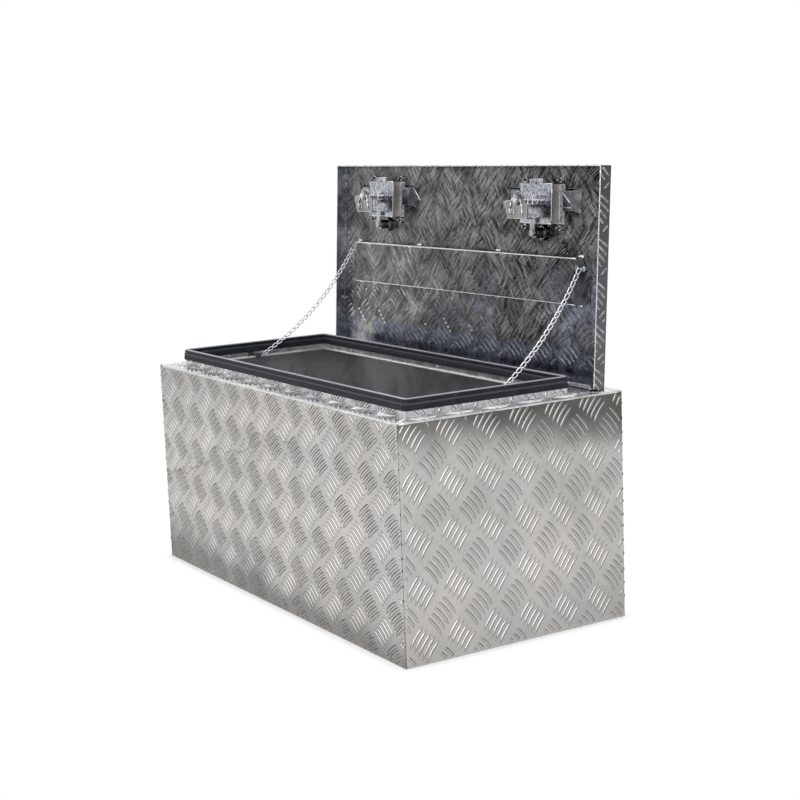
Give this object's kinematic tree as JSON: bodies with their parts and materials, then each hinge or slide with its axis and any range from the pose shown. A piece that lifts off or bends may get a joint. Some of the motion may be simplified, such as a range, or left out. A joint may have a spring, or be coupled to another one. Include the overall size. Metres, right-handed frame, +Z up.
{
  "type": "pickup truck tool box",
  "caption": "Long aluminium tread-plate chest for a truck bed, with a hinged pan lid held open by chains, turn latches with key locks, and a rubber seal on its raised lip.",
  "frame": {"origin": "centre of the chest base, on the ground", "axes": "+X along the chest to the right seen from the front, +Y to the back where the hinge is, +Z up; the lid is open at rest"},
  "size_m": [0.914, 0.4659, 0.7879],
  "materials": {
    "tread_plate": "bright five-bar tread plate",
    "lid_plate": "bright tread plate, darker inner face",
    "zinc_steel": "bright zinc plating",
    "hinge_metal": "satin",
    "seal_rubber": "matt dark rubber",
    "lock_black": "dark lock bodies"
  },
  "bodies": {
    "chest": {"front_panel": "tread_plate", "back_panel": "tread_plate", "left_end_panel": "tread_plate", "right_end_panel": "tread_plate", "floor_panel": "tread_plate", "lip_seal": "seal_rubber", "hinge_body_leaf": "hinge_metal", "hinge_pin": "hinge_metal", "chain_tab_left": "zinc_steel", "chain_tab_right": "zinc_steel"},
    "lid": {"chain_eye_left": "zinc_steel", "chain_eye_right": "zinc_steel", "hinge_lid_leaf": "hinge_metal", "key_barrel_left": "lock_black", "key_barrel_right": "lock_black", "key_nut_left": "lock_black", "key_nut_right": "lock_black", "latch_bracket_left": "zinc_steel", "latch_bracket_right": "zinc_steel", "latch_nut_back_left_left": "zinc_steel", "latch_nut_back_left_right": "zinc_steel", "latch_nut_back_right_left": "zinc_steel", "latch_nut_back_right_right": "zinc_steel", "latch_nut_front_left_left": "zinc_steel", "latch_nut_front_left_right": "zinc_steel", "latch_nut_front_right_left": "zinc_steel", "latch_nut_front_right_right": "zinc_steel", "latch_spring_left": "zinc_steel", "latch_spring_right": "zinc_steel", "latch_tray_left": "zinc_steel", "latch_tray_right": "zinc_steel", "lid_pan": "lid_plate", "lid_stiffener": "lid_plate"},
    "latch_turn_left": {"latch_handle_left": "zinc_steel", "latch_spindle_left": "zinc_steel", "latch_washer_left": "zinc_steel", "latch_cam_left": "zinc_steel", "latch_cam_nut_left": "zinc_steel"},
    "key_turn_left": {"key_plug_left": "zinc_steel", "key_cam_left": "zinc_steel"},
    "chain_lower_half_left": {"chain_lower_left": "zinc_steel"},
    "chain_upper_half_left": {"chain_upper_left": "zinc_steel"},
    "latch_turn_right": {"latch_handle_right": "zinc_steel", "latch_spindle_right": "zinc_steel", "latch_washer_right": "zinc_steel", "latch_cam_right": "zinc_steel", "latch_cam_nut_right": "zinc_steel"},
    "key_turn_right": {"key_plug_right": "zinc_steel", "key_cam_right": "zinc_steel"},
    "chain_lower_half_right": {"chain_lower_right": "zinc_steel"},
    "chain_upper_half_right": {"chain_upper_right": "zinc_steel"}
  },
  "joints": [
    {"name": "lid_hinge", "type": "hinge", "parent": "chest", "child": "lid", "pos_m": [0, 0.177, 0.4112], "axis": [1, 0, 0], "range_deg": [0, 93.5]},
    {"name": "latch_turn_left", "type": "hinge", "parent": "lid", "child": "latch_turn_left", "pos_m": [-0.263, 0.19629, 0.72661], "axis": [0, 0.9981, -0.061], "range_deg": [0, 90]},
    {"name": "key_turn_left", "type": "hinge", "parent": "lid", "child": "key_turn_left", "pos_m": [-0.263, 0.19275, 0.66872], "axis": [0, 0.9981, -0.061], "range_deg": [0, 90]},
    {"name": "chain_lower_swing_left", "type": "hinge", "parent": "chest", "child": "chain_lower_half_left", "pos_m": [-0.409, -0.018, 0.405], "axis": [1, 0, 0], "range_deg": [-124, 0]},
    {"name": "chain_upper_swing_left", "type": "hinge", "parent": "lid", "child": "chain_upper_half_left", "pos_m": [-0.386, 0.19809, 0.61028], "axis": [1, 0, 0], "range_deg": [-56.5, 0]},
    {"name": "latch_turn_right", "type": "hinge", "parent": "lid", "child": "latch_turn_right", "pos_m": [0.263, 0.19629, 0.72661], "axis": [0, 0.9981, -0.061], "range_deg": [0, 90]},
    {"name": "key_turn_right", "type": "hinge", "parent": "lid", "child": "key_turn_right", "pos_m": [0.263, 0.19275, 0.66872], "axis": [0, 0.9981, -0.061], "range_deg": [0, 90]},
    {"name": "chain_lower_swing_right", "type": "hinge", "parent": "chest", "child": "chain_lower_half_right", "pos_m": [0.409, -0.018, 0.405], "axis": [1, 0, 0], "range_deg": [-124, 0]},
    {"name": "chain_upper_swing_right", "type": "hinge", "parent": "lid", "child": "chain_upper_half_right", "pos_m": [0.386, 0.19809, 0.61028], "axis": [1, 0, 0], "range_deg": [-56.5, 0]}
  ],
  "couplings": [
    {"joint": "chain_lower_swing_left", "follows": "lid_hinge", "ratio": -1.32},
    {"joint": "chain_upper_swing_left", "follows": "lid_hinge", "ratio": -0.6},
    {"joint": "chain_lower_swing_right", "follows": "lid_hinge", "ratio": -1.32},
    {"joint": "chain_upper_swing_right", "follows": "lid_hinge", "ratio": -0.6}
  ]
}
